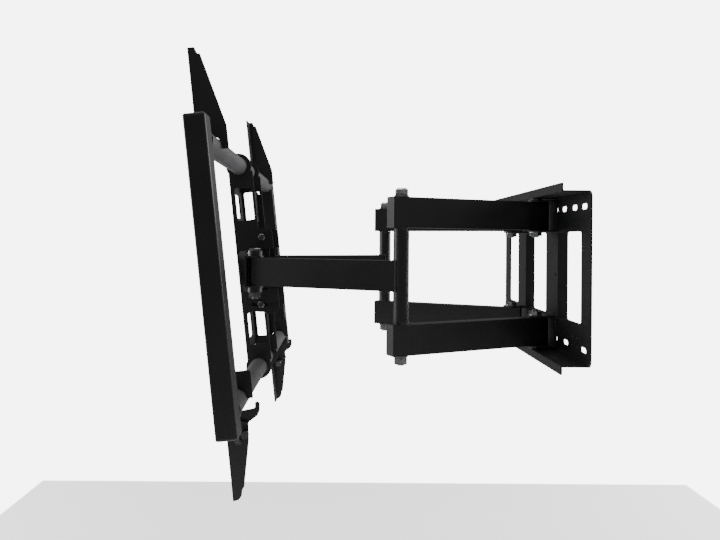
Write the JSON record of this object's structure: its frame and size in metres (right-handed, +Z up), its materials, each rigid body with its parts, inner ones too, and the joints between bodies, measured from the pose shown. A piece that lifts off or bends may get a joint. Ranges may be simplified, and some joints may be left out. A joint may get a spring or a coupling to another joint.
{
  "type": "full motion tv wall mount",
  "caption": "Wall bracket for a flat screen: a slotted wall plate, folding arms, a tilting frame with tubes and long hooked screen brackets.",
  "frame": {"origin": "centre of the wall plate's back face, on the wall", "axes": "+X along the wall, +Y into the wall, +Z up"},
  "size_m": [0.68, 0.5284, 0.5716],
  "materials": {
    "black_coat": "fine satin black powder coat",
    "frame_coat": "satin black powder coat",
    "latch_coat": "black powder coat",
    "black_plastic": "moulded black plastic",
    "zinc_steel": "bright zinc plated steel",
    "thumb_steel": "knurled zinc steel",
    "dark_zinc": "black zinc plated steel",
    "spring_steel": "spring steel"
  },
  "bodies": {
    "wall": {"wall_plate": "black_coat", "right_upper_hinge_bracket": "black_coat", "right_lower_hinge_bracket": "black_coat", "left_upper_hinge_bracket": "black_coat", "left_lower_hinge_bracket": "black_coat", "wall_pivot_bolts": "dark_zinc", "wall_pivot_washers": "zinc_steel", "wall_pivot_nuts": "zinc_steel"},
    "right_rear_arms": {"right_upper_rear_arm": "black_coat", "right_lower_rear_arm": "black_coat", "right_upper_arm_plugs": "black_plastic", "right_lower_arm_plugs": "black_plastic", "right_elbow_collars": "black_coat", "right_elbow_bolt": "zinc_steel", "right_elbow_nut": "zinc_steel"},
    "right_front_arm_body": {"right_front_arm": "black_coat", "right_elbow_post": "black_coat", "right_elbow_bushes": "black_plastic"},
    "head": {"head_bracket": "black_coat", "head_pivot_caps": "black_coat", "head_pivot_bolts": "dark_zinc", "head_pivot_nuts": "dark_zinc", "tilt_bolts": "dark_zinc", "tilt_friction_washers": "black_plastic", "tilt_nuts": "dark_zinc"},
    "left_rear_arms": {"left_upper_rear_arm": "black_coat", "left_lower_rear_arm": "black_coat", "left_upper_arm_plugs": "black_plastic", "left_lower_arm_plugs": "black_plastic", "left_elbow_collars": "black_coat", "left_elbow_bolt": "zinc_steel", "left_elbow_nut": "zinc_steel"},
    "left_front_arm_body": {"left_front_arm": "black_coat", "left_elbow_post": "black_coat", "left_elbow_bushes": "black_plastic"},
    "screen_frame": {"centre_channel": "frame_coat", "top_tube": "frame_coat", "bottom_tube": "frame_coat", "right_end_bar": "black_coat", "right_bar_caps": "black_plastic", "left_end_bar": "black_coat", "left_bar_caps": "black_plastic"},
    "right_bracket": {"right_screen_bracket": "frame_coat", "right_latch_pin": "dark_zinc", "right_latch_spring": "spring_steel", "right_thumb_screw": "thumb_steel"},
    "left_bracket": {"left_screen_bracket": "frame_coat", "left_latch_pin": "dark_zinc", "left_latch_spring": "spring_steel", "left_thumb_screw": "thumb_steel"},
    "right_latch_body": {"right_latch": "latch_coat"},
    "left_latch_body": {"left_latch": "latch_coat"}
  },
  "joints": [
    {"name": "right_wall_pivot", "type": "hinge", "parent": "wall", "child": "right_rear_arms", "pos_m": [0.07, -0.031, 0], "axis": [0, 0, 1], "range_deg": [-17, 52]},
    {"name": "right_elbow", "type": "hinge", "parent": "right_rear_arms", "child": "right_front_arm_body", "pos_m": [0.16854, -0.24874, 0], "axis": [0, 0, 1], "range_deg": [-104, 34]},
    {"name": "head_pivot", "type": "hinge", "parent": "right_front_arm_body", "child": "head", "pos_m": [0.07, -0.46648, 0], "axis": [0, 0, 1], "range_deg": [-17, 52]},
    {"name": "left_wall_pivot", "type": "hinge", "parent": "wall", "child": "left_rear_arms", "pos_m": [-0.07, -0.031, 0], "axis": [0, 0, 1], "range_deg": [-52, 17]},
    {"name": "left_elbow", "type": "hinge", "parent": "left_rear_arms", "child": "left_front_arm_body", "pos_m": [-0.16854, -0.24874, 0], "axis": [0, 0, 1], "range_deg": [-34, 104]},
    {"name": "screen_tilt", "type": "hinge", "parent": "head", "child": "screen_frame", "pos_m": [0, -0.45948, 0.0535], "axis": [1, 0, 0], "range_deg": [-11.2, 7.3]},
    {"name": "right_bracket_slide", "type": "slide", "parent": "screen_frame", "child": "right_bracket", "axis": [1, 0, 0], "range_m": [-0.15, 0.04]},
    {"name": "right_latch_turn", "type": "hinge", "parent": "right_bracket", "child": "right_latch_body", "pos_m": [0, -0.4605, -0.20448], "axis": [-1, 0, 0], "range_deg": [0, 30], "stiffness_Nm_per_rad": 0.1, "springref_deg": -17.19},
    {"name": "left_bracket_slide", "type": "slide", "parent": "screen_frame", "child": "left_bracket", "axis": [1, 0, 0], "range_m": [-0.04, 0.15]},
    {"name": "left_latch_turn", "type": "hinge", "parent": "left_bracket", "child": "left_latch_body", "pos_m": [0, -0.4605, -0.20448], "axis": [-1, 0, 0], "range_deg": [0, 30], "stiffness_Nm_per_rad": 0.1, "springref_deg": -17.19}
  ],
  "couplings": [
    {"joint": "right_elbow", "follows": "right_wall_pivot", "ratio": -2},
    {"joint": "head_pivot", "follows": "right_wall_pivot", "ratio": 1},
    {"joint": "left_wall_pivot", "follows": "right_wall_pivot", "ratio": -1},
    {"joint": "left_elbow", "follows": "right_wall_pivot", "ratio": 2}
  ]
}
